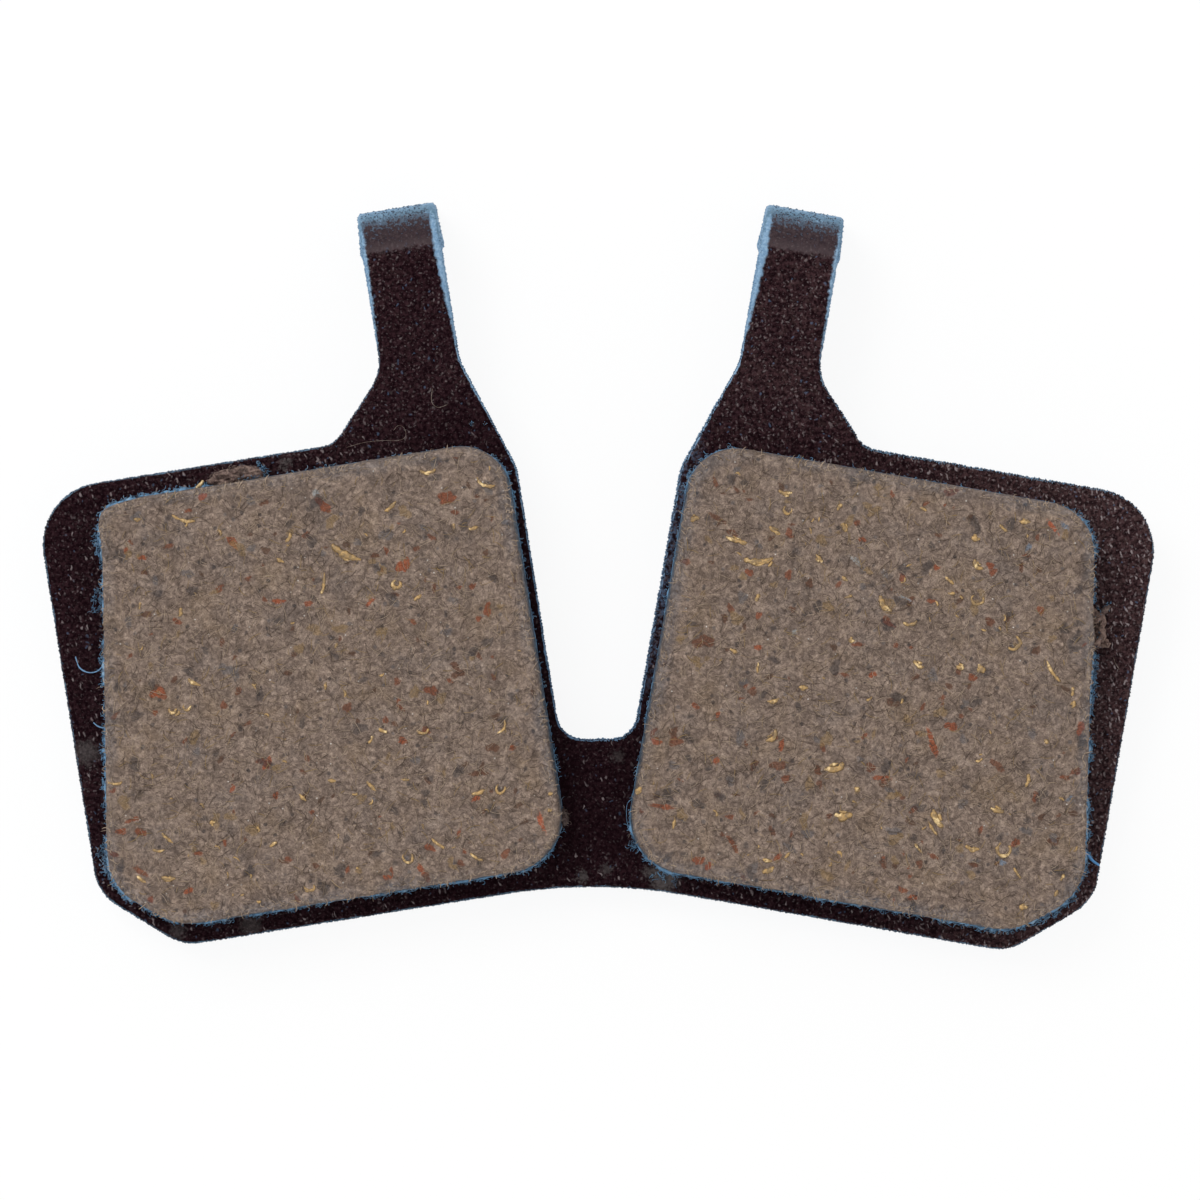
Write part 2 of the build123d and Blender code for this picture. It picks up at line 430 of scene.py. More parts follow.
def plateShade():
    s = Shade(bpy.data.materials.new("coated_steel"))
    x, y, z = s.split(s.spot)
    nx, ny, nz = s.facing()
    neck, bendStart = plate["neck"], plate["bendStart"]
    half = s.maths("SIGN", x)
    across = abs(x) * cos(lean) - y * sin(lean)
    along = abs(x) * sin(lean) + y * cos(lean)
    speckle = s.cloud(8.0, 3.0, 0.65)
    uneven = speckle - 0.5
    # the pale specks on the front are painted glints of the blasted steel
    front, glintSpecks = plateFrontWithGlints(s, x, y, speckle)
    coat = s.blend(s.step(speckle, 0.32, 0.7), plate["blueDeep"], plate["bluePale"])
    coat = s.blend(0.6, coat, plate["blue"])
    coat = s.blend(s.step(along, neck, 10.0) * s.step(z, 1.2, 1.7) * 0.6, coat, plate["blueDeep"])
    # the coat shows where the sheet rolls over, most on the edges that look at the gap
    inward = s.step(ny * sin(lean) - nx * half * cos(lean), 0.03, 0.14)
    gapFloor = s.step(abs(x), 3.4, 2.4) * s.step(ny, 0.05, 0.2)
    inward = s.maths("MAXIMUM", inward, gapFloor)
    blotch = s.cloud(3.4, 3.0, 0.65) - 0.5
    reach = inward * 0.12 + s.step(s.cloud(0.8), 0.4, 0.62) * 0.16 + s.step(x, -16.0, -20.0) * 0.07 + 0.38
    rolled = s.step(nz + uneven * 0.3 + blotch * 0.5, reach + 0.2, reach)
    worn = s.step(s.cloud(1.6, 3.0, 0.65), 0.44, 0.6) * 0.6 + 0.25
    outerEdge = (1 - inward) * s.step(z, 0.9, 1.5) * s.step(along, 19.0, 17.0)
    coat = s.blend(outerEdge * 0.75, coat, plate["teal"])
    rolled = rolled * s.maths("MAXIMUM", s.maths("MAXIMUM", inward, worn), s.step(z, 1.5, 1.2))
    # broad coated sides on the arms, widest at the bend
    low, high = plate["arm"]
    widen = s.step(along, neck, bendStart)
    ragged = across + uneven * 0.2
    inSide = s.step(ragged + blotch * 0.3, low + 0.1 + widen * 0.28, low - 0.03 + widen * 0.26)
    outSide = s.step(ragged - blotch * 0.3, high - 0.08 - widen * 0.15, high + 0.05 - widen * 0.13)
    sides = s.maths("MAXIMUM", inSide, outSide) * s.step(along, neck + 0.2, neck + 1.6)
    # grey-brown band over the bend, with a painted highlight where the bend starts, and the coat again past
    # the crown
    onBend = s.step(along + uneven * 0.5 + blotch * 0.5, bendStart - 0.12, bendStart + 0.12)
    flat = s.vector("MULTIPLY", s.spot, (1.0, 1.0, 0.3))
    grainy = s.cloud(7.0, 3.0, 0.7, 0.0, flat) - 0.5
    # lighter where the bend starts: a painted highlight on the crown
    bendHighlight = s.step(along + grainy * 0.8, bendStart + 0.55, bendStart + 0.1)
    bare = s.blend(s.step(grainy, -0.2, 0.25) * 0.5 + bendHighlight * 0.4, plate["bendDeep"], plate["bend"])
    front = s.blend(onBend * 0.65, front, bare)
    crown = onBend * s.step(nz + grainy * 1.1, 0.82, 0.5)
    sooty = crown * s.step(grainy - nz * 0.15, -0.08, -0.2) * s.step(nz, 0.02, 0.12)
    tint = s.blend(crown * s.step(nz, 0.15, 0.6) * 0.75, coat, plate["teal"])
    covered = s.maths("MAXIMUM", s.maths("MAXIMUM", rolled, sides), crown)
    colour = s.blend(covered, front, tint)
    colour = s.blend(sooty * (1 - sides) * 0.8, colour, plate["bendDeep"])
    # paint mist between the right block and the gap
    near, off = plate["misted"]
    misted = s.step(x, 0.5, 1.5) * s.step(across, off, near)
    misted = misted * s.step(along, 4.5, 8.0) * s.step(along, 18.5, 16.0)
    misted = misted * s.step(blotch + uneven * 0.6, -0.1, 0.14)
    mist = s.blend(s.step(speckle, 0.4, 0.6), plate["bend"], plate["blueSpeck"])
    colour = s.blend(misted * 0.5, colour, mist)
    # the painted glint specks are raised a little in the bump too
    height = speckle * 0.7 + glintSpecks * 0.4
    return s.finish(colour, plate["rough"], height, depth=0.04, shine=0.02)


shades = {
    "lining": liningShade(),
    "flash": flashShade(),
    "brass": brassShade(),
    "fibre": fibreShade(),
    "blueFibre": blueFibreShade(),
    "thread": threadShade(),
    "plate": plateShade(),
}
plateNode.data.materials.clear()
plateNode.data.materials.append(shades["plate"])
print("materials made:", ", ".join(sorted(shades)))


# Mesh helpers
def setValues(mesh, name, values):
    # one number for each point
    mesh.attributes.new(name, "FLOAT", "POINT").data.foreach_set("value", values)


def placed(name, data):
    made = bpy.data.objects.new(name, data)
    bpy.context.scene.collection.objects.link(made)
    return made


class Heap:
    # points and faces gathered into one mesh, with a tone for each point
    def __init__(self):
        self.points = []
        self.faces = []
        self.tones = []

    def tube(self, path, widths, thick, sides, tones):
        # a flattened rod through the path's points, closed at both ends
        first = len(self.points)
        for i, (point, width, tone) in enumerate(zip(path, widths, tones)):
            ahead = path[min(i + 1, len(path) - 1)] - path[max(i - 1, 0)]
            across = Vector((-ahead.y, ahead.x, 0)).normalized()
            up = ahead.cross(across).normalized()
            for k in range(sides):
                turn = 2 * pi * k / sides
                self.points.append(point + across * (cos(turn) * width) + up * (sin(turn) * width * thick))
                self.tones.append(tone)
        self.skin(first, len(path), sides)

    def hair(self, path, width, tip, tone):
        # a thin round fibre, with its last end this share of the width
        last = len(path) - 1
        self.tube(path, [width] * last + [width * tip], 1.0, 3, [tone] * len(path))

    def skin(self, first, rings, sides):
        # faces round the rings of a rod and over its two ends
        for i in range(rings - 1):
            for k in range(sides):
                a, b = first + i * sides + k, first + i * sides + (k + 1) % sides
                self.faces.append((a, b, b + sides, a + sides))
        self.faces.append(tuple(range(first + sides - 1, first - 1, -1)))
        last = first + (rings - 1) * sides
        self.faces.append(tuple(range(last, last + sides)))

    def piece(self, name, shade, slotName):
        mesh = bpy.data.meshes.new(name)
        mesh.from_pydata([tuple(Vector(p) * mm) for p in self.points], [], self.faces)
        if self.tones:
            setValues(mesh, "tone", self.tones)
        mesh.shade_smooth()
        mesh.materials.append(shade)
        made = placed(name, mesh)
        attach(made, "root")
        return made


def noiseAt(x, y, z, scale):
    return noise.noise(Vector((x, y, z)) * scale)


def evenRing(corners, spacing):
    # the closed outline again, with points at an even spacing
    closed = np.vstack([corners, corners[:1]])
    run = np.concatenate([[0], np.cumsum(np.hypot(*np.diff(closed, axis=0).T))])
    stops = np.linspace(0, run[-1], int(run[-1] / spacing), endpoint=False)
    return np.column_stack([np.interp(stops, run, closed[:, 0]), np.interp(stops, run, closed[:, 1])])


def outward(ring):
    ahead = np.roll(ring, -1, axis=0) - np.roll(ring, 1, axis=0)
    out = np.column_stack([ahead[:, 1], -ahead[:, 0]])
    return out / np.hypot(*out.T)[:, None]


def turnedSpot(x, y, a, b, turn):
    # the point a along and b across a line that runs through x and y at this angle
    return x + a * cos(turn) - b * sin(turn), y + a * sin(turn) + b * cos(turn)


def curlingPath(x, y, heading, long, curl, stops):
    # flat path of this length that turns evenly by curl
    path = []
    for i in range(stops):
        path.append(Vector((x, y, 0)))
        x += cos(heading) * long / (stops - 1)
        y += sin(heading) * long / (stops - 1)
        heading += curl / (stops - 1)
    return path


# Friction blocks
block = {
    "spacing": 0.1,        # between points of the face
    "draft": radians(4.0),
    "edge": 0.13,          # rounded edge of the face
    "wallRings": 12,
    "edgeRings": 3,
    "ragged": 0.075,
    "relief": 0.05,
    "gridInset": 0.09,     # the points of the face begin this far inside its edge
    "shake": 0.25,         # share of the spacing that each one is moved by at most
    "faceDepth": 0.2,      # flakes show down to this far below the face
    "flakeReach": 0.6,     # distances are worked out this far round a flake
}
blocks = {
    "left": {
        "node": "left_friction_block",
        "bulge": (107, 516, 0.85, 0.5),  # column and row of a fuller corner, its reach and push
        # column, row, length, width in pixels, turn in degrees
        "rust": [
            (446, 498, 18, 12, 20), (454, 512, 8, 6, 0), (323, 505, 18, 10, -35), (157, 692, 15, 11, 40),
            (278, 601, 15, 5, 10), (264, 599, 6, 5, 0), (219, 588, 9, 7, 30), (232, 542, 17, 7, -42),
            (142, 557, 8, 6, 0), (144, 572, 7, 6, 0), (125, 550, 7, 5, 60), (202, 496, 10, 7, 0),
            (188, 510, 7, 5, 20), (177, 621, 10, 6, -15), (308, 603, 9, 6, 0), (374, 555, 8, 6, 0),
            (370, 601, 11, 5, 50), (395, 594, 7, 5, 0), (487, 609, 13, 8, 80), (478, 618, 7, 5, 0),
            (416, 548, 8, 6, 0), (403, 565, 16, 12, 70), (458, 673, 13, 9, 20), (431, 690, 13, 10, -10),
            (347, 707, 12, 8, 80), (402, 740, 9, 7, 0), (492, 747, 12, 10, 0), (512, 747, 8, 6, 30),
            (478, 773, 18, 6, 0), (475, 798, 9, 6, 30), (541, 822, 25, 4, -75), (429, 847, 11, 7, -40),
            (420, 868, 12, 6, -50), (460, 863, 9, 6, 0), (387, 877, 10, 5, 10), (267, 763, 15, 7, 75),
            (275, 795, 8, 6, 20), (307, 758, 7, 6, 0), (232, 788, 9, 5, 80), (120, 831, 14, 5, 0),
            (133, 819, 14, 4, 20), (140, 871, 18, 6, -40), (188, 890, 9, 7, 30), (150, 899, 7, 6, 20),
            (297, 899, 9, 5, -50), (464, 851, 6, 4, -30),
        ],
        # column, row, length, width, turn, curl in degrees
        "brass": [
            (345, 553, 33, 8, -25, 40), (427, 471, 17, 4, 10, 90), (484, 483, 23, 4, -20, 100),
            (390, 506, 15, 4, 45, 20), (183, 519, 24, 4, -10, 50), (137, 519, 7, 4, 0, 40),
            (288, 537, 11, 4, 70, 60), (280, 560, 9, 4, -30, 30), (323, 583, 22, 3, 85, 20),
            (180, 612, 9, 4, 80, 30), (193, 682, 14, 4, -25, 60), (172, 710, 16, 3, 0, 250),
            (186, 707, 16, 3, 0, 230), (396, 584, 20, 4, 0, 300), (417, 597, 9, 4, 40, 30),
            (473, 528, 9, 4, 20, 40), (382, 730, 9, 4, -20, 60), (370, 739, 8, 4, 50, 20),
            (422, 731, 16, 3, 10, 150), (502, 728, 18, 3, 60, 100), (371, 786, 12, 4, -45, 10),
            (331, 780, 8, 4, 0, 40), (404, 779, 9, 3, 0, 40), (478, 792, 14, 4, 20, 50),
            (500, 789, 22, 3, 0, 280), (408, 858, 24, 3, 30, 280), (437, 843, 15, 4, -35, 20),
            (550, 793, 5, 4, 0, 10), (550, 810, 5, 4, 0, 10), (476, 857, 14, 3, -25, 40),
            (167, 838, 16, 3, -40, 20), (158, 850, 12, 3, 0, 30), (302, 797, 10, 3, -45, 20),
            (212, 822, 6, 5, 0, 20), (273, 844, 9, 4, 30, 30), (309, 888, 16, 3, 20, 200),
            (141, 879, 12, 4, -35, 30), (168, 878, 14, 5, 0, 30), (115, 783, 14, 3, 10, 60),
        ],
        # column, row, length, width, turn, tone: 0 black, 0.5 slate, 0.7 ochre, 1 blue, 1.5 silver
        "spots": [
            (187, 573, 12, 9, 0, 0.5), (435, 462, 12, 8, 0, 0.5), (357, 542, 10, 7, 0, 0.5),
            (453, 600, 10, 8, 0, 0.5), (240, 728, 7, 6, 0, 0), (215, 753, 8, 7, 0, 0),
            (382, 617, 8, 6, 0, 0), (382, 654, 7, 6, 0, 0), (317, 641, 8, 6, 0, 0),
            (331, 637, 7, 6, 0, 0), (430, 778, 8, 6, 0, 0), (282, 822, 8, 7, 0, 0),
            (312, 855, 6, 5, 0, 0), (204, 818, 8, 6, 0, 0.1), (134, 809, 1, 1, 0, 1),
            (289, 523, 9, 8, 0, 0), (233, 507, 5, 5, 0, 0), (315, 492, 9, 6, -50, 1.5),
        ],
    },
    "right": {
        "node": "right_friction_block",
        "bulge": (1086, 640, 1.0, 0.12),
        "rust": [
            (717, 518, 23, 5, -25), (732, 532, 11, 7, -20), (685, 561, 10, 7, 0), (711, 562, 6, 4, 0),
            (749, 572, 8, 8, 0), (809, 583, 9, 8, 0), (792, 609, 7, 7, 0), (758, 615, 7, 7, 0),
            (703, 641, 20, 14, 5), (758, 647, 8, 6, 0), (862, 539, 7, 6, 0), (789, 533, 11, 8, -40),
            (858, 644, 12, 5, 0), (951, 491, 16, 8, 30), (1052, 526, 16, 4, -55), (1026, 555, 7, 4, 0),
            (990, 565, 8, 7, 0), (936, 567, 7, 6, 0), (972, 677, 10, 7, 20), (890, 701, 10, 7, 0),
            (888, 623, 14, 5, -25), (872, 674, 7, 7, 0), (1036, 650, 10, 8, 60), (656, 741, 12, 7, 10),
            (675, 741, 14, 9, -20), (716, 760, 9, 6, 80), (717, 714, 6, 6, 0), (752, 692, 9, 7, 0),
            (778, 765, 16, 10, 10), (817, 770, 10, 8, -40), (781, 745, 12, 6, 70), (662, 806, 22, 6, -5),
            (732, 843, 18, 6, -60), (698, 860, 12, 9, 30), (708, 866, 10, 6, 80), (777, 857, 12, 5, 30),
            (772, 815, 8, 5, -20), (951, 726, 12, 10, 0), (932, 743, 26, 7, -70), (870, 767, 12, 8, 80),
            (882, 778, 16, 7, 0), (902, 797, 7, 5, 60), (997, 765, 16, 8, -40), (1076, 771, 9, 8, 60),
            (1065, 777, 10, 6, 0), (1080, 728, 14, 8, 80), (1015, 842, 9, 8, 60), (1053, 841, 12, 9, 30),
            (912, 897, 10, 6, 0),
        ],
        "brass": [
            (736, 540, 22, 5, -15, 20), (758, 560, 30, 7, 5, 50), (785, 492, 14, 5, 0, 90),
            (787, 510, 18, 3, 0, 280), (774, 530, 14, 5, -35, 20), (844, 527, 9, 6, -60, 20),
            (819, 558, 9, 5, -50, 20), (844, 578, 8, 4, -40, 20), (757, 597, 8, 4, 70, 40),
            (733, 650, 8, 4, -20, 40), (757, 667, 10, 3, 80, 30), (851, 640, 6, 5, 0, 20),
            (694, 518, 9, 6, 20, 60), (803, 687, 9, 5, 0, 30), (977, 565, 16, 5, -40, 120),
            (949, 580, 11, 3, -40, 10), (951, 593, 7, 4, 0, 40), (884, 604, 20, 6, -50, 80),
            (910, 623, 16, 4, 10, 90), (977, 600, 26, 3, 0, 250), (1015, 644, 24, 4, 60, 200),
            (981, 668, 10, 7, -50, 20), (960, 667, 8, 6, -10, 20), (918, 664, 13, 5, -30, 90),
            (1052, 671, 25, 4, -55, 35), (1072, 691, 9, 4, 85, 10), (1073, 704, 8, 5, 70, 20),
            (1024, 521, 12, 5, 0, 40), (1003, 528, 10, 4, -40, 30), (975, 538, 8, 6, 0, 60),
            (772, 736, 18, 5, 60, 120), (834, 767, 21, 7, 20, 60), (843, 815, 18, 8, 5, 70),
            (857, 789, 6, 4, -30, 10), (638, 790, 8, 5, 50, 40), (767, 860, 9, 4, -10, 20),
            (768, 870, 13, 5, 25, 30), (773, 700, 13, 4, 15, 60), (674, 823, 12, 3, 85, 20),
            (936, 818, 21, 8, -60, 40), (932, 828, 17, 3, -55, 20), (918, 848, 13, 3, -50, 20),
            (1027, 780, 13, 4, 78, 40), (997, 810, 14, 6, -15, 20), (1003, 850, 34, 4, 0, 290),
            (972, 848, 14, 5, -10, 60), (1017, 873, 13, 3, -55, 20), (1046, 741, 6, 4, -40, 10),
            (1062, 877, 7, 4, 60, 20), (1056, 893, 7, 4, 70, 20), (1023, 907, 9, 5, 0, 40),
        ],
        "spots": [
            (744, 482, 8, 8, 0, 0), (795, 551, 10, 6, 15, 0), (827, 561, 6, 5, 0, 0),
            (736, 644, 6, 6, 0, 0), (772, 628, 7, 6, 0, 0), (861, 570, 7, 7, 0, 0),
            (784, 678, 7, 6, 0, 0), (906, 567, 8, 7, 0, 0), (1064, 628, 12, 10, 0, 0.2),
            (1074, 639, 16, 9, 40, 0.3), (1078, 623, 10, 8, 0, 0.1), (1076, 648, 12, 6, 0, 0.2),
            (1003, 553, 16, 5, -20, 0), (753, 867, 12, 10, 0, 0.4), (677, 791, 6, 5, 0, 0),
            (708, 768, 7, 5, 0, 0), (754, 767, 8, 5, 0, 0.2), (673, 765, 11, 8, 0, 0.5),
            (790, 848, 16, 6, -35, 0.5), (900, 769, 8, 5, 0, 0), (916, 775, 12, 8, 0, 0),
            (967, 787, 20, 4, -20, 0.2), (962, 803, 10, 10, 0, 0.5), (1054, 867, 7, 6, 0, 0),
            (975, 860, 10, 5, 0, 0.4), (982, 900, 7, 5, 0, 0), (1028, 547, 8, 6, 80, 1),
            (1064, 525, 12, 4, -40, 1), (1069, 798, 11, 4, 30, 1), (1002, 862, 8, 6, 0, 1),
            (867, 505, 10, 7, 0, 0.7), (888, 604, 20, 13, 0, 0.7), (885, 574, 9, 8, 0, 0.5),
            (847, 865, 12, 5, 70, 0.7), (855, 560, 17, 4, -40, 1.5), (905, 598, 15, 4, -30, 1.5),
            (794, 632, 10, 4, 60, 1.5),
        ],
    },
}
scatter = {
    "rust": 120, "rustSize": (0.09, 0.24), "rustSlim": (0.4, 0.8), "rustTones": (0, 0.6),
    "spots": 150, "spotSize": (0.1, 0.34), "spotSlim": (0.5, 0.9),
    "spotTones": (0, 0, 0.2, 0.5, 0.7, 0.7),
    "brass": 45, "brassSize": (0.12, 0.35), "brassSlim": (0.2, 0.5),
    "brassCurl": (0, 3), "brassGlints": (0, 0.5),
    "fibres": 7000, "fibreLength": (0.2, 0.7), "fibreWidth": (0.006, 0.014),
}


def footRing(facts):
    # outline of the block on the plate, with the directions that look out of it
    spots = np.array([v.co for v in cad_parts[facts["node"]].data.vertices]) / mm
    corners = np.unique(spots[np.abs(spots[:, 2] - plateFront) < 1e-3][:, :2].round(4), axis=0)
    right, up = (corners - corners.mean(axis=0)).T
    ring = evenRing(corners[np.argsort(np.arctan2(up, right))], block["spacing"])
    column, row, reach, push = facts["bulge"]
    far = np.hypot(*(ring - photoSpot(column, row, plateFront)).T)
    ring = ring + outward(ring) * (push * np.exp(-(far / reach) ** 2))[:, None]
    return ring, outward(ring)


def rimRing(ring, out, height, inset, ragged):
    made = []
    for (x, y), (ox, oy) in zip(ring, out):
        push = noiseAt(x, y, height * 0.6, 1.4) * 0.7 + noiseAt(x, y, height, 5.5) * 0.55
        reach = ragged * push - inset
        made.append((x + ox * reach, y + oy * reach, height))
    return made


def blockWall(ring, out):
    # rings of points from the foot up over the rounded edge of the face
    points = []
    wallTop = frictionFace - block["edge"]
    for i, height in enumerate(np.linspace(plateFront, wallTop, block["wallRings"])):
        inset = (height - plateFront) * tan(block["draft"])
        points += rimRing(ring, out, height, inset, block["ragged"] * min(1.0, i / 2))
    leaned = (frictionFace - plateFront) * tan(block["draft"])
    for i in range(1, block["edgeRings"] + 1):
        turn = pi / 2 * i / block["edgeRings"]
        inset = leaned + block["edge"] * (1 - cos(turn))
        points += rimRing(ring, out, wallTop + block["edge"] * sin(turn), inset, block["ragged"])
    return points, leaned + block["edge"]


def faceGrid(inner, rng):
    # even points over the face, each shaken a little
    step, shake = block["spacing"], block["shake"]
    after = np.roll(inner, -1, axis=0)
    grid = []
    for j, y in enumerate(np.arange(inner[:, 1].min(), inner[:, 1].max(), step * sqrt(3) / 2)):
        crossed = (inner[:, 1] > y) != (after[:, 1] > y)
        share = (y - inner[crossed, 1]) / (after[crossed, 1] - inner[crossed, 1])
        ends = inner[crossed, 0] + share * (after[crossed, 0] - inner[crossed, 0])
        if len(ends) == 2:
            for x in np.arange(ends.min() + step / 2 * (j % 2), ends.max(), step):
                grid.append((x + rng.uniform(-shake, shake) * step, y + rng.uniform(-shake, shake) * step))
    return grid


def faceHeight(x, y):
    pebble = noiseAt(x, y, 0, 2.4) * 0.5 + noiseAt(x, y, 3, 5.2) * 0.45
    pit = max(0.0, noiseAt(x, y, 7, 1.7) - 0.38) * 1.6
    return frictionFace - block["relief"] * (0.45 - 0.45 * pebble + pit)


def inField(points, flakes):
    # signed distance to the nearest flake's uneven edge, positive inside, and that flake's tone
    field = np.full(len(points), -1.0)
    tones = np.zeros(len(points))
    for x, y, long, wide, turn, tone, seed in flakes:
        right, up = points[:, 0] - x, points[:, 1] - y
        near = np.flatnonzero(right * right + up * up < (long + block["flakeReach"]) ** 2)
        a = right[near] * cos(turn) + up[near] * sin(turn)
        b = up[near] * cos(turn) - right[near] * sin(turn)
        angle = np.arctan2(b / wide, a / long)
        uneven = 1 + 0.2 * np.sin(2 * angle + seed) + 0.16 * np.sin(3 * angle + 2.3 * seed)
        uneven += 0.1 * np.sin(5 * angle + 4.1 * seed)
        distance = (uneven - np.hypot(a / long, b / wide)) * min(long, wide)
        better = distance > field[near]
        field[near[better]] = distance[better]
        tones[near[better]] = tone
    return field, tones


def addFlakes(piece, points, grid, rim, facts, rng):
    # flakes and spots read from the photograph, then smaller ones scattered between them
    size = 2 * pixelsPerMm(frictionFace)
    rust, spots = [], []
    for column, row, long, wide, turn in facts["rust"]:
        spot = photoSpot(column, row, frictionFace)
        shape = (long / size, max(wide / size, block["spacing"]), radians(turn))
        tone = 2 if long >= 4 * wide and wide < 5 else rng.uniform(0.15, 1)  # thin ones are bright red
        rust.append((*spot, *shape, tone, rng.uniform(0, 6)))
    for column, row, long, wide, turn, tone in facts["spots"]:
        spot = photoSpot(column, row, frictionFace)
        shape = (long / size, wide / size, radians(turn))
        spots.append((*spot, *shape, tone, rng.uniform(0, 6)))
    for _ in range(scatter["rust"]):
        long = rng.uniform(*scatter["rustSize"])
        shape = (long, long * rng.uniform(*scatter["rustSlim"]), rng.uniform(0, pi))
        rust.append((*rng.choice(grid), *shape, rng.uniform(*scatter["rustTones"]), rng.uniform(0, 6)))
    for _ in range(scatter["spots"]):
        long = rng.uniform(*scatter["spotSize"])
        shape = (long, long * rng.uniform(*scatter["spotSlim"]), rng.uniform(0, pi))
        spots.append((*rng.choice(grid), *shape, rng.choice(scatter["spotTones"]), rng.uniform(0, 6)))
    spread = np.array(points)
    onFace = spread[:, 2] > frictionFace - block["faceDepth"]
    for name, things in (("flake", rust), ("spot", spots)):
        field, tones = inField(spread[:, :2], things)
        field[~onFace] = -1.0
        setValues(piece.data, name, field)
        setValues(piece.data, name + "Tone", tones)
    inside = [min(1.0, np.hypot(*(rim - spot[:2]).T).min()) for spot in spread]
    setValues(piece.data, "inside", inside)


turning = {
    "stops": 11, "sides": 6,
    "thick": 0.45,   # thickness to width
    "split": 0.2,    # a wider one is made of two slivers
    "slim": 0.55,    # how much smaller the second one is
    "tilt": 0.06, "kink": 0.05,
    "proud": 0.012,  # middle of the sliver above the face
    "core": 0.012, "spread": 0.4,  # half width, and the share of the width added to it
    "least": 0.01,   # half width of the thinnest place
}


def addTurnings(side, grid, facts, rng):
    # curled slivers half sunk in the face
    size = pixelsPerMm(frictionFace)
    # each chip's last number is the strength of its painted glint
    chips = []
    for column, row, long, wide, turn, curl in facts["brass"]:
        spot = photoSpot(column, row, frictionFace)
        chips.append((*spot, long / size, wide / size, radians(turn), radians(curl), rng.uniform(0.4, 1)))
    for _ in range(scatter["brass"]):
        long = rng.uniform(*scatter["brassSize"])
        wide = long * rng.uniform(*scatter["brassSlim"])
        shape = (long, wide, rng.uniform(0, pi), rng.uniform(*scatter["brassCurl"]))
        chips.append((*rng.choice(grid), *shape, rng.uniform(*scatter["brassGlints"])))
    heap = Heap()
    stops = turning["stops"]
    for x, y, long, wide, turn, curl, tone in chips:
        for n in range(2 if wide > turning["split"] else 1):
            slim = 1 - turning["slim"] * n
            half = turning["core"] + wide * turning["spread"]
            bend = curl * (1 + n * rng.uniform(-0.4, 0.4))
            path = curlingPath(0, 0, turn - bend / 2 + n * rng.uniform(-0.3, 0.3), long * slim, bend, stops)
            centre = sum(path, Vector()) / stops
            aside = n * rng.choice((-0.5, 0.5)) * wide
            tilt = rng.uniform(-turning["tilt"], turning["tilt"])
            # where along the sliver its painted glint, a lighter colour, is strongest
            glint = rng.random()
            widths, tones = [], []
            for i, p in enumerate(path):
                share = i / (stops - 1)
                kink = noiseAt(x + p.x, y + p.y, 9, 4.0) * turning["kink"]
                spot = p - centre + Vector((x + kink - sin(turn) * aside, y - kink + cos(turn) * aside, 0))
                spot.z = faceHeight(spot.x, spot.y) + turning["proud"] + tilt * (share - 0.5)
                path[i] = spot
                swell = 1 + 0.8 * noiseAt(spot.x, spot.y, 5, 6.0)
                taper = sqrt(sin(pi * (0.08 + 0.84 * share)))
                widths.append(max(turning["least"], half * slim * swell * taper))
                tones.append(tone * max(0, 1 - 2.2 * abs(share - glint)))
            heap.tube(path, widths, turning["thick"], turning["sides"], tones)
    heap.piece(side + "_brass_turnings", shades["brass"], "lining")
    return len(chips)


loose = {
    "stops": 5, "tip": 0.6,
    "overEdge": 4,  # one in so many lies over the edge of the face
    "curl": 1.2, "lift": (-0.01, 0.012), "rise": 0.035,
    # for those over the edge
    "inset": 0.1, "swing": 1.8, "edgeCurl": 4.0, "drop": 0.3,
    "short": 0.6, "stout": 1.8, "edgeTones": (0.3, 0.8),
}


def addFibres(side, grid, rim, out, rng):
    # loose fibres lying over the face, and some over its edge
    heap = Heap()
    stops = loose["stops"]
    for n in range(scatter["fibres"]):
        over = n % loose["overEdge"] == 0
        long = rng.uniform(*scatter["fibreLength"])
        if over:
            k = rng.randrange(len(rim))
            x, y = rim[k] - out[k] * rng.uniform(0, loose["inset"])
            heading = atan2(out[k][1], out[k][0]) + rng.uniform(-loose["swing"], loose["swing"])
            long *= loose["short"]
        else:
            x, y = rng.choice(grid)
            heading = rng.uniform(0, 2 * pi)
        bend = loose["edgeCurl"] if over else loose["curl"]
        path = curlingPath(x, y, heading, long, rng.uniform(-bend, bend), stops)
        lift, rise = rng.uniform(*loose["lift"]), rng.uniform(0, loose["rise"])
        drop = rng.uniform(0, loose["drop"]) if over else 0
        for i, p in enumerate(path):
            share = i / (stops - 1)
            p.z = frictionFace - block["relief"] * 0.4 + lift + rise * sin(pi * share) - drop * share ** 2
        width = rng.uniform(*scatter["fibreWidth"]) * (loose["stout"] if over else 1)
        tone = rng.uniform(*loose["edgeTones"]) if over else rng.random()
        heap.hair(path, width, loose["tip"], tone)
    heap.piece(side + "_lining_fibres", shades["fibre"], "lining")


def frictionBlock(side):
    facts = blocks[side]
    rng = random.Random(side)
    ring, out = footRing(facts)
    count = len(ring)
    points, inset = blockWall(ring, out)
    first = len(points) - count
    rim = np.array(points[first:])[:, :2]
    grid = faceGrid(ring - out * (inset + block["gridInset"]), rng)
    border = [(k, (k + 1) % count) for k in range(count)]
    flat = [Vector(p) for p in rim] + [Vector(p) for p in grid]
    made = delaunay_2d_cdt(flat, border, [], 1, 1e-6)
    heap = Heap()
    heap.points = points + [(x, y, faceHeight(x, y)) for x, y in grid]
    heap.skin(0, len(points) // count, count)
    heap.faces.pop()  # the face takes the place of the flat top end
    for face in made[2]:
        heap.faces.append(tuple(first + made[3][k][0] for k in face))
    piece = heap.piece(side + "_friction_lining", shades["lining"], "lining")
    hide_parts(facts["node"])
    addFlakes(piece, heap.points, grid, rim, facts, rng)
    chips = addTurnings(side, grid, facts, rng)
    addFibres(side, grid, rim, out, rng)
    print(side, "friction block:", len(heap.faces), "faces,", chips, "turnings")
    return ring, out


footRings = {side: frictionBlock(side) for side in blocks}


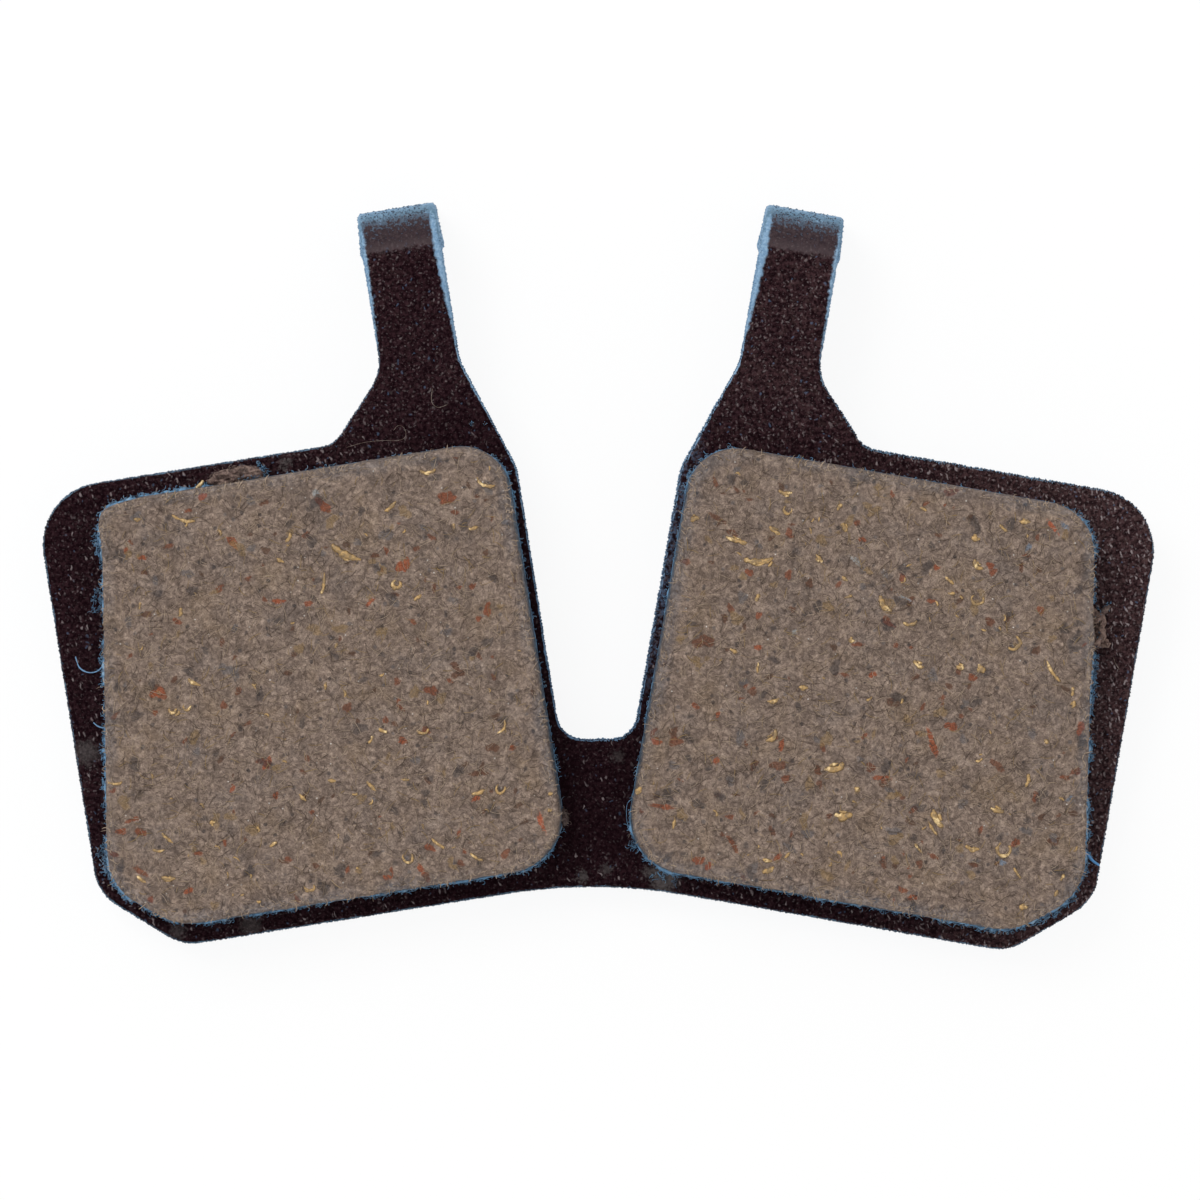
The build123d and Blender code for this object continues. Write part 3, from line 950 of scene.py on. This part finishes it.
# Painted fuzz round the foot of each block
fringe = {
    "perMm": 110,
    "reach": (0.06, 0.32),
    "width": (0.01, 0.018),
    "bead": 0.25, "widest": 0.14,  # bead of paint in the corner between plate and block
    "under": 0.1, "sunk": 0.02,    # how far the bead goes into the block and the plate
    "tall": (0.06, 0.15),          # its least height, and what is added where it is thick
    "least": 0.04, "inner": 0.1, "outer": 0.8, "low": 0.48,  # how thick it is on each side
    "stops": 6, "tip": 0.6, "curl": 7.0, "lift": 0.012,
    "swing": (1.1, 2.0),           # angle of a fibre to the way out of the block
    "away": (-0.1, 0.16),
    "high": (0.02, 0.3), "near": 0.03,  # fibres nearer to the block than this climb its wall
    # column, row, reach in pixels and extra of thicker places
    "tufts": [
        (104, 546, 20, 0.8), (102, 850, 30, 0.7), (132, 892, 30, 0.4), (1078, 868, 34, 0.9),
        (1052, 904, 30, 0.6), (1087, 700, 110, 0.45), (1090, 560, 40, 0.4), (508, 490, 30, 0.4),
        (690, 470, 30, 0.3), (125, 508, 26, 0.35), (165, 499, 30, 0.45), (205, 492, 26, 0.35),
    ],
}


def fringeAt(side, x, y, ox, oy):
    mirrored = ox if side == "right" else -ox
    towardOuter = mirrored * cos(lean) - oy * sin(lean)
    towardTop = mirrored * sin(lean) + oy * cos(lean)
    thick = fringe["least"] + fringe["outer"] * max(0, towardOuter) + fringe["inner"] * max(0, -towardOuter)
    thick += fringe["low"] * max(0, -towardTop)
    for column, row, reach, extra in fringe["tufts"]:
        far = (Vector((x, y)) - Vector(photoSpot(column, row, plateFront))).length * photo["scale"] / reach
        thick += extra * exp(-far * far)
    clump = 0.55 + 0.75 * noiseAt(x, y, 11, 0.7) + 0.8 * noiseAt(x, y, 17, 2.1)
    return thick * min(1.4, max(0.05, clump))


def footFringe(side):
    ring, out = footRings[side]
    rng = random.Random(side + " fringe")
    heap = Heap()
    count = len(ring)
    under, sunk = fringe["under"], fringe["sunk"]
    leastTall, addedTall = fringe["tall"]
    for (x, y), (ox, oy) in zip(ring, out):
        thick = fringeAt(side, x, y, ox, oy)
        wide = min(fringe["widest"], fringe["bead"] * thick)
        wide *= 0.8 + 0.9 * noiseAt(x, y, 23, 5.0) + 0.7 * noiseAt(x, y, 37, 9.0)
        tall = leastTall + addedTall * min(1, thick)
        section = ((-under, -sunk), (wide, -sunk), (wide * 0.75, tall * 0.35), (-under, tall))
        for reach, rise in section:
            heap.points.append((x + ox * reach, y + oy * reach, plateFront + rise))
            heap.tones.append(0.45 + 0.4 * min(1, thick) + 0.6 * noiseAt(x, y, 29, 6.0))
    corners = len(section)
    for k in range(count):
        for c in range(corners):
            a, b = k * corners + c, k * corners + (c + 1) % corners
            after = ((k + 1) % count) * corners
            heap.faces.append((a, after + c, after + (c + 1) % corners, b))
    stops = fringe["stops"]
    for _ in range(int(count * block["spacing"] * fringe["perMm"])):
        k = rng.randrange(count)
        (x, y), (ox, oy) = ring[k], out[k]
        thick = fringeAt(side, x, y, ox, oy)
        if rng.random() > thick:
            continue
        heading = atan2(oy, ox) + rng.choice((-1, 1)) * rng.uniform(*fringe["swing"])
        long = rng.uniform(*fringe["reach"])
        away = rng.uniform(*fringe["away"]) * (0.4 + thick)
        curl = rng.uniform(-fringe["curl"], fringe["curl"])
        path = curlingPath(x + ox * away, y + oy * away, heading, long, curl, stops)
        high = rng.uniform(*fringe["high"]) if away < fringe["near"] else fringe["high"][0]
        for i, p in enumerate(path):
            p.z = plateFront + fringe["lift"] + high * (1 - i / (stops - 1))
        heap.hair(path, rng.uniform(*fringe["width"]), fringe["tip"], rng.random())
    heap.piece(side + "_painted_fuzz", shades["blueFibre"], "plate")


for side in footRings:
    footFringe(side)
print("painted fuzz made")


# Flash: lining squeezed out over the plate at a few places
flashes = {
    # column, row, length, width in pixels, turn in degrees, height, tone from grey to brown
    "left_top_flash": (236, 476, 54, 20, 8, 0.65, 0.8),
    "left_low_flash": (562, 816, 20, 11, -70, 0.6, 0.3),
    "right_outer_flash": (1089, 626, 46, 32, -86, 1.8, 1.0),
    "right_upper_flash": (1103, 611, 17, 7, 45, 0.5, 0.5),
    "right_lower_flash": (1100, 642, 20, 11, -15, 0.9, 1.0),
}
flashShape = {
    "rings": 12, "spokes": 56,
    "sunk": 0.03,                  # foot below the front of the plate
    "waves": 0.28, "nicks": 0.12,  # unevenness of the outline
    "body": 0.85, "bumps": 0.3,
}


def flashLump(name, column, row, long, wide, turn, tall, tone):
    x, y = photoSpot(column, row, plateFront)
    size = 2 * pixelsPerMm(plateFront)
    turn = radians(turn)
    heap = Heap()
    spokes, rings = flashShape["spokes"], flashShape["rings"]
    for i in range(rings):
        share = 1 - i / rings
        for k in range(spokes):
            angle = 2 * pi * k / spokes
            edge = 1 + flashShape["waves"] * noiseAt(cos(angle) * 2, sin(angle) * 2, x, 1.0)
            edge += flashShape["nicks"] * noiseAt(cos(angle) * 6, sin(angle) * 6, y, 1.0)
            a, b = cos(angle) * long / size * share * edge, sin(angle) * wide / size * share * edge
            px, py = turnedSpot(x, y, a, b, turn)
            bumpy = flashShape["body"] + flashShape["bumps"] * noiseAt(px, py, 2, 3.0)
            bumpy += flashShape["bumps"] * noiseAt(px, py, 4, 8.0)
            rise = tall * sqrt(1 - share ** 3) * bumpy
            heap.points.append((px, py, plateFront + rise - (flashShape["sunk"] if i == 0 else 0)))
    heap.skin(0, rings, spokes)
    heap.tones = [tone] * len(heap.points)
    heap.piece(name, shades["flash"], "lining")


for name, facts in flashes.items():
    flashLump(name, *facts)
print("flash made:", len(flashes))


# Tangles of short fibres on the flash and beside the blocks
tangles = {
    # shade, share of the height that the ends keep, then column, row, length and width in pixels,
    # turn in degrees, number of fibres and height
    "loose_lining_fibres": ("flash", 0.9, [
        (236, 476, 54, 19, 8, 320, 0.62), (563, 816, 20, 11, -70, 60, 0.55),
        (1090, 626, 44, 30, -86, 150, 1.75), (1104, 643, 13, 8, -25, 25, 0.2),
    ]),
    "loose_painted_fibres": ("blueFibre", 0.0, [
        (102, 851, 18, 9, 60, 45, 0.15), (110, 872, 18, 8, -20, 35, 0.12), (96, 602, 26, 12, 80, 32, 0.15),
        (635, 841, 20, 9, 60, 45, 0.2), (262, 468, 20, 7, -50, 45, 0.5), (249, 479, 24, 6, 0, 45, 1.1),
        (1106, 606, 14, 6, 50, 16, 0.15), (1096, 628, 44, 5, -88, 36, 1.95),
        (471, 423, 5, 5, 0, 14, 0.08), (485, 423, 4, 4, 0, 10, 0.06), (664, 878, 30, 10, -12, 20, 0.1),
    ]),
}


tangled = {
    "stops": 7, "curl": 4.0, "lift": 0.01,
    "longest": 0.36, "share": 0.6,  # a fibre's length at most, and as a share of half the place
    "shortest": 0.3,                # of that
    "lowest": 0.4,                  # of the height
    "width": (0.007, 0.015),
    "tones": (0.25, 0.95),
}


def tangle(heap, rng, lie, column, row, long, wide, turn, count, tall):
    x, y = photoSpot(column, row, plateFront)
    size = 2 * pixelsPerMm(plateFront)
    turn = radians(turn)
    stops = tangled["stops"]
    for _ in range(count):
        angle, share = rng.uniform(0, 2 * pi), sqrt(rng.random())
        a, b = cos(angle) * share * long / size, sin(angle) * share * wide / size
        spot = turnedSpot(x, y, a, b, turn)
        reach = rng.uniform(tangled["shortest"], 1) * min(tangled["longest"], long / size * tangled["share"])
        heading = rng.uniform(0, 2 * pi)
        curl = rng.uniform(-tangled["curl"], tangled["curl"])
        path = curlingPath(*spot, heading, reach, curl, stops)
        rise = tall * sqrt(1 - share ** 3) * rng.uniform(max(lie, tangled["lowest"]), 1)
        for i, p in enumerate(path):
            p.z = plateFront + tangled["lift"] + rise * max(lie, sqrt(abs(sin(pi * i / (stops - 1)))))
        heap.hair(path, rng.uniform(*tangled["width"]), 1.0, rng.uniform(*tangled["tones"]))


for name, (shade, lie, places) in tangles.items():
    heap = Heap()
    rng = random.Random(name)
    for place in places:
        tangle(heap, rng, lie, *place)
    heap.piece(name, shades[shade], "lining")
print("tangles made:", len(tangles))


# Loose strands lying on the plate
strands = {
    # shade, half width, tone, then column and row of the points along it
    "left_blue_curl": ("blueFibre", 0.032, 1.5, [(75, 656), (79, 667), (88, 672), (98, 670), (105, 661)]),
    "left_blue_wisp": ("blueFibre", 0.034, 1.5, [(93, 722), (98, 726), (106, 728)]),
    "right_blue_strand": ("blueFibre", 0.06, 2, [(1079, 850), (1086, 853), (1092, 860), (1099, 865)]),
    "right_blue_loop": ("blueFibre", 0.015, 0.4, [
        (633, 797), (627, 803), (626, 813), (627, 823), (632, 832)]),
    "neck_thread": ("thread", 0.02, 0, [(432, 388), (431, 396), (432, 403), (438, 407), (447, 404)]),
    "shoulder_thread": ("thread", 0.014, 0, [
        (346, 447), (364, 442), (384, 440), (398, 440), (405, 436), (404, 428), (398, 425), (393, 430)]),
    "low_thread": ("thread", 0.022, 0, [(435, 878), (438, 882), (443, 884), (449, 885)]),
    "right_whisker": ("thread", 0.02, 0, [(632, 823), (631, 830), (628, 837)]),
    # for brass the tone is the strength of its painted glint
    "top_brass_sliver": ("brass", 0.09, 1, [(195, 489), (198, 486), (201, 483), (203, 480)]),
    "outer_thread": ("thread", 0.022, 0, [(1113, 657), (1115, 663), (1119, 669)]),
}


def smoothLine(spots, between):
    # a soft curve through the points
    line = []
    for i in range(len(spots) - 1):
        before, after = spots[max(i - 1, 0)], spots[min(i + 2, len(spots) - 1)]
        a, b = spots[i], spots[i + 1]
        for k in range(between):
            t = k / between
            bent = a * 2 + (b - before) * t + (before * 2 - a * 5 + b * 4 - after) * t * t
            line.append((bent + (a * 3 - before - b * 3 + after) * t ** 3) / 2)
    return line + [spots[-1]]


strandShape = {"between": 5, "sides": 6, "lift": 0.8, "start": 0.5, "end": 0.4}


def layStrand(name, shade, half, tone, marks):
    height = plateFront + half * strandShape["lift"]
    spots = [Vector((*photoSpot(*mark, plateFront), height)) for mark in marks]
    line = smoothLine(spots, strandShape["between"])
    widths = [half * (0.8 + 0.4 * noiseAt(p.x, p.y, 3, 4.0)) for p in line]
    widths[0], widths[-1] = half * strandShape["start"], half * strandShape["end"]
    heap = Heap()
    heap.tube(line, widths, 1.0, strandShape["sides"], [tone] * len(line))
    heap.piece(name, shades[shade], "lining")


for name, facts in strands.items():
    layStrand(name, *facts)
print("strands laid:", len(strands))


# Grains of the coat on the cut sides of the sheet
coatGrain = {
    "tries": 24000,
    "size": (0.025, 0.075),
    "steep": 0.75,               # sides are where the surface looks up or down less than this
    "below": 0.55, "kept": 0.2,  # share that is kept farther than this below the front
    "stand": 0.8,                # height to width
    "root": 0.02,
    "coarse": 1.6,               # on the right half, where it looks at the gap and at the tabs
    "looking": 0.5, "armFoot": 18.0,
}


def coatGrains():
    rng = random.Random("coat grains")
    mesh = plateNode.data
    mesh.calc_loop_triangles()
    sides = [t for t in mesh.loop_triangles if abs(t.normal.z) < coatGrain["steep"]]
    heap = Heap()
    for side in rng.choices(sides, [t.area for t in sides], k=coatGrain["tries"]):
        a, b, c = [mesh.vertices[k].co / mm for k in side.vertices]
        low, high = sorted((rng.random(), rng.random()))
        spot = a * low + b * (high - low) + c * (1 - high)
        if spot.z < plateFront - coatGrain["below"] and rng.random() > coatGrain["kept"]:
            continue
        out = side.normal
        along = Vector((-out.y, out.x, 0)).normalized()
        up = out.cross(along)
        first = len(heap.points)
        looks = max(-out.x, out.y) > coatGrain["looking"]
        size = coatGrain["coarse"] if spot.x > 0 and looks and spot.y < coatGrain["armFoot"] else 1.0
        for way in (along, up, -along, -up):
            heap.points.append(spot + way * size * rng.uniform(*coatGrain["size"]))
        heap.points.append(spot + out * size * rng.uniform(*coatGrain["size"]) * coatGrain["stand"])
        heap.points.append(spot - out * coatGrain["root"])
        for k in range(4):
            heap.faces.append((first + k, first + (k + 1) % 4, first + 4))
            heap.faces.append((first + (k + 1) % 4, first + k, first + 5))
    heap.piece("coat_grains", shades["plate"], "plate")
    print("coat grains:", len(heap.points) // 6)


coatGrains()


# Stage: pale floor that the plate's lower edge and the tips of its tabs rest on
stage = {"reach": 400.0, "white": paint(250, 250, 250), "glow": 0.9, "clear": 0.02}


def restingFloor():
    spots = np.array([v.co for v in plateNode.data.vertices]) / mm
    tips = spots[spots[:, 2] < spots[:, 2].min() + 1e-3]
    back = spots[np.abs(spots[:, 2]) < 1e-3]
    lowEdge = back[back[:, 1].argmin()]
    slope = min((z - lowEdge[2]) / (y - lowEdge[1]) for _, y, z in tips)
    corners = []
    for x, y in ((-1, -1), (1, -1), (1, 1), (-1, 1)):
        along = y * stage["reach"]
        corners.append((x * stage["reach"], along, slope * (along - lowEdge[1]) - stage["clear"]))
    mesh = bpy.data.meshes.new("pale_floor")
    mesh.from_pydata([tuple(Vector(c) * mm) for c in corners], [], [(0, 1, 2, 3)])
    s = Shade(bpy.data.materials.new("pale_floor"))
    matt = Term(s, s.node("ShaderNodeBsdfDiffuse", {}, {"Color": stage["white"]}).outputs[0])
    glow = Term(s, s.node("ShaderNodeEmission", {}, {"Strength": 1.0}).outputs[0])
    both = s.node("ShaderNodeMixShader", {}, {0: s.seen() * stage["glow"], 1: matt, 2: glow})
    s.node("ShaderNodeOutputMaterial", {}, {"Surface": Term(s, both.outputs[0])})
    mesh.materials.append(s.owner)
    floor = placed("pale_floor", mesh)


restingFloor()
print("floor laid")


# Light and camera
light = {
    "sky": 0.8, "key": 0.3,  # light on the pad from each, where 1 shows a colour as it is written
    "keyPlace": (-160, 190, 300),
    "keySize": 180,
}


def lightAndCamera():
    scene = bpy.context.scene
    s = Shade(bpy.data.worlds.new("soft_tent"))
    strength = s.seen() * (1 - light["sky"]) + light["sky"]
    sky = s.node("ShaderNodeBackground", {}, {"Color": (1, 1, 1, 1), "Strength": strength})
    s.node("ShaderNodeOutputWorld", {}, {"Surface": Term(s, sky.outputs[0])})
    scene.world = s.owner
    place = Vector(light["keyPlace"]) * mm
    key = bpy.data.lights.new("key_panel", "AREA")
    key.size = light["keySize"] * mm
    # power that adds the wanted share of light at the pad
    key.energy = light["key"] * pi ** 2 * place.length ** 3 / place.z
    lamp = placed("key_panel", key)
    lamp.location = place
    lamp.rotation_euler = (-place).to_track_quat("-Z", "Y").to_euler()
    view = bpy.data.cameras.new("photo_view")
    view.sensor_width = photo["sensor"]
    eye = Vector(photo["above"])
    view.lens = photo["sensor"] * (eye.z - plateFront) * photo["scale"] / photo["side"]
    view.clip_start, view.clip_end = [reach * mm for reach in photo["clip"]]
    camera = placed("photo_view", view)
    camera.location = eye * mm
    camera.rotation_euler = (0, 0, radians(photo["turn"]))
    scene.camera = camera
    scene.view_settings.view_transform = "Standard"


lightAndCamera()
print("light and camera set")
